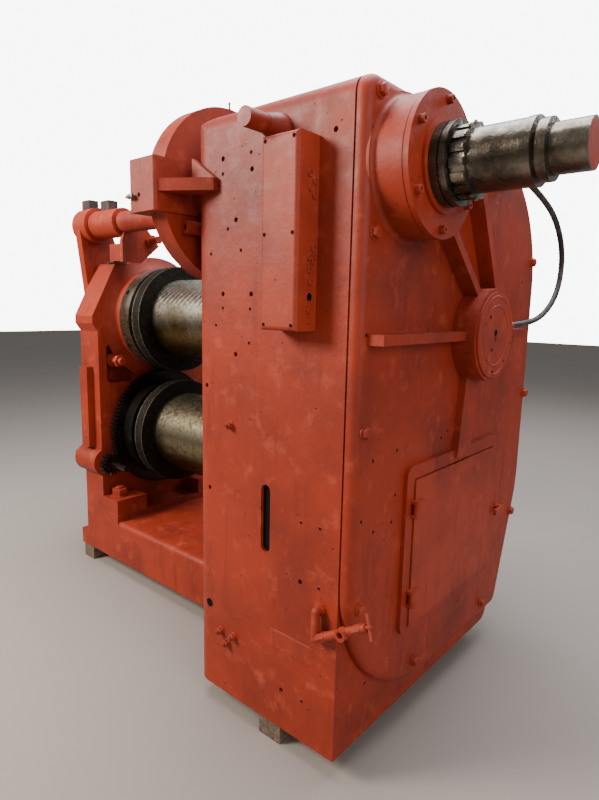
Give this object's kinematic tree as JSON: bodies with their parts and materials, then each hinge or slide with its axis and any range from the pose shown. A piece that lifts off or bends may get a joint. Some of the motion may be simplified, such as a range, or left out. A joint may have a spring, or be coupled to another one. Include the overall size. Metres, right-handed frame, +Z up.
{
  "type": "forging roll machine",
  "caption": "Forging roll machine with a tall closed gear column, an outboard roll housing, two stacked rolls between them and a bare drive shaft end high on the geared side.",
  "frame": {"origin": "on the ground under the middle of the machine", "axes": "+X along the roll axes towards the drive shaft's free end, +Y from the column's front face to its back, +Z up"},
  "size_m": [3.058, 1.7317, 2.4479],
  "materials": {
    "red_primer": "matt red-oxide primer, patchy and oily",
    "greasy_steel": "machined steel, dark with grease",
    "roll_steel": "machined steel, worn and oily, black on the flanges",
    "bare_steel": "dull bare steel",
    "grey_plastic": "matt dark grey",
    "timber": "rough sawn, dirty",
    "black_hose": "matt black"
  },
  "bodies": {
    "frame": {"column_body": "red_primer", "gear_cover": "red_primer", "door_hinges": "red_primer", "door_catch": "red_primer", "boss_plate": "red_primer", "shaft_flange": "red_primer", "seal_ring": "greasy_steel", "base_frame": "red_primer", "left_housing": "red_primer", "link_stud": "greasy_steel", "upper_bush_ring": "greasy_steel", "upper_column_ring": "greasy_steel", "lower_column_ring": "greasy_steel", "drum_housing": "red_primer", "torque_lug": "red_primer", "cross_tube": "red_primer", "tube_collar": "red_primer", "outer_cheek": "red_primer", "inner_cheek": "red_primer", "cheek_foot": "red_primer", "foot_shim": "bare_steel", "stay_bolt": "red_primer", "tube_sensors": "grey_plastic", "box_cover": "red_primer", "lifting_trunnion": "red_primer", "drain_pipe": "red_primer", "column_timber": "timber", "base_timber": "timber", "oil_hose": "black_hose", "hose_top_fitting": "bare_steel", "hose_end_fitting": "bare_steel"},
    "upper_roll": {"upper_roll": "roll_steel"},
    "lower_roll": {"lower_roll": "roll_steel"},
    "drive_shaft": {"drive_shaft": "greasy_steel", "lock_nut": "greasy_steel"},
    "inspection_door": {"inspection_door": "red_primer"},
    "adjusting_gear": {"adjusting_gear": "greasy_steel", "eccentric_bush": "greasy_steel"},
    "adjusting_pinion": {"adjusting_pinion": "greasy_steel"},
    "valve_handle": {"valve_handle": "red_primer"}
  },
  "joints": [
    {"name": "upper_roll_spin", "type": "hinge", "parent": "frame", "child": "upper_roll", "pos_m": [-0.41, 0.1325, 1.57], "axis": [1, 0, 0], "continuous": true},
    {"name": "lower_roll_spin", "type": "hinge", "parent": "frame", "child": "lower_roll", "pos_m": [-0.41, 0.1325, 0.87], "axis": [1, 0, 0], "continuous": true},
    {"name": "drive_shaft_spin", "type": "hinge", "parent": "frame", "child": "drive_shaft", "pos_m": [1.231, -0.4245, 2.103], "axis": [1, 0, 0], "continuous": true},
    {"name": "door_hinge", "type": "hinge", "parent": "frame", "child": "inspection_door", "pos_m": [1.017, -0.3085, 0.769], "axis": [0, 0, -1], "range_deg": [0, 110]},
    {"name": "adjusting_gear_turn", "type": "hinge", "parent": "frame", "child": "adjusting_gear", "pos_m": [-1.119, 0.1325, 0.87], "axis": [1, 0, 0], "range_deg": [-19.5, 19.5]},
    {"name": "adjusting_pinion_turn", "type": "hinge", "parent": "frame", "child": "adjusting_pinion", "pos_m": [-1.269, -0.25578, 0.68062], "axis": [1, 0, 0], "range_deg": [-112.1, 112.1]},
    {"name": "valve_turn", "type": "hinge", "parent": "frame", "child": "valve_handle", "pos_m": [1.06472, -0.6905, 0.66461], "axis": [0.8572, 0, 0.515], "range_deg": [0, 90]}
  ],
  "couplings": [
    {"joint": "lower_roll_spin", "follows": "upper_roll_spin", "ratio": -1},
    {"joint": "drive_shaft_spin", "follows": "upper_roll_spin", "ratio": 5.6},
    {"joint": "adjusting_pinion_turn", "follows": "adjusting_gear_turn", "ratio": -5.75}
  ]
}
